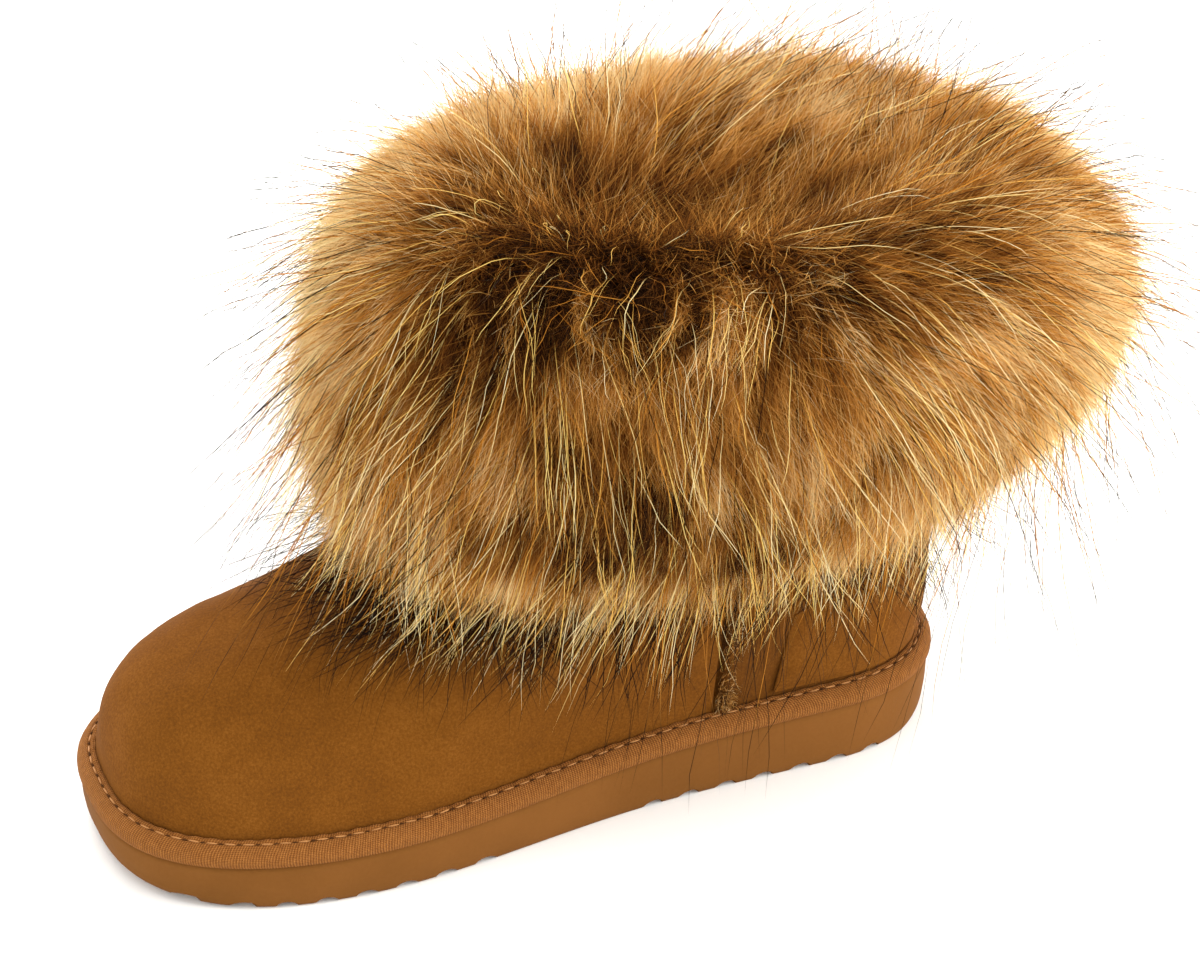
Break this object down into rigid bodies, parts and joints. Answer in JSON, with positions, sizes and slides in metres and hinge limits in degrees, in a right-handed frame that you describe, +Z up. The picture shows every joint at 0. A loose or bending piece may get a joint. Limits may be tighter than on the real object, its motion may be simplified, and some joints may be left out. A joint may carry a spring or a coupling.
{
  "type": "lined boot",
  "caption": "Short left winter boot of brown suede sheepskin with a deep fur cuff, thick foam sole with wavy lugs, woven binding tape and a small plain heel badge",
  "frame": {"origin": "on the floor under the flat waist of the sole, midway between toe and heel", "axes": "+Y to the heel and so the toe at -Y, +X to the boot's outer side, +Z up"},
  "size_m": [0.1998, 0.3387, 0.1983],
  "materials": {
    "sole_foam": "matt moulded foam",
    "footbed_fleece": "short wool pile",
    "suede": "suede nap",
    "counter_suede": "suede nap",
    "woven_tape": "ribbed weave",
    "patch_leather": "smooth dark leather",
    "badge_metal": "dark aged metal",
    "fur": "long soft pile"
  },
  "bodies": {
    "root": {"outsole": "sole_foam", "insole": "footbed_fleece", "upper": "suede", "binding_tape": "woven_tape", "heel_counter": "counter_suede", "fur_cuff": "fur", "badge_base": "patch_leather", "badge_button": "badge_metal"}
  },
  "joints": []
}
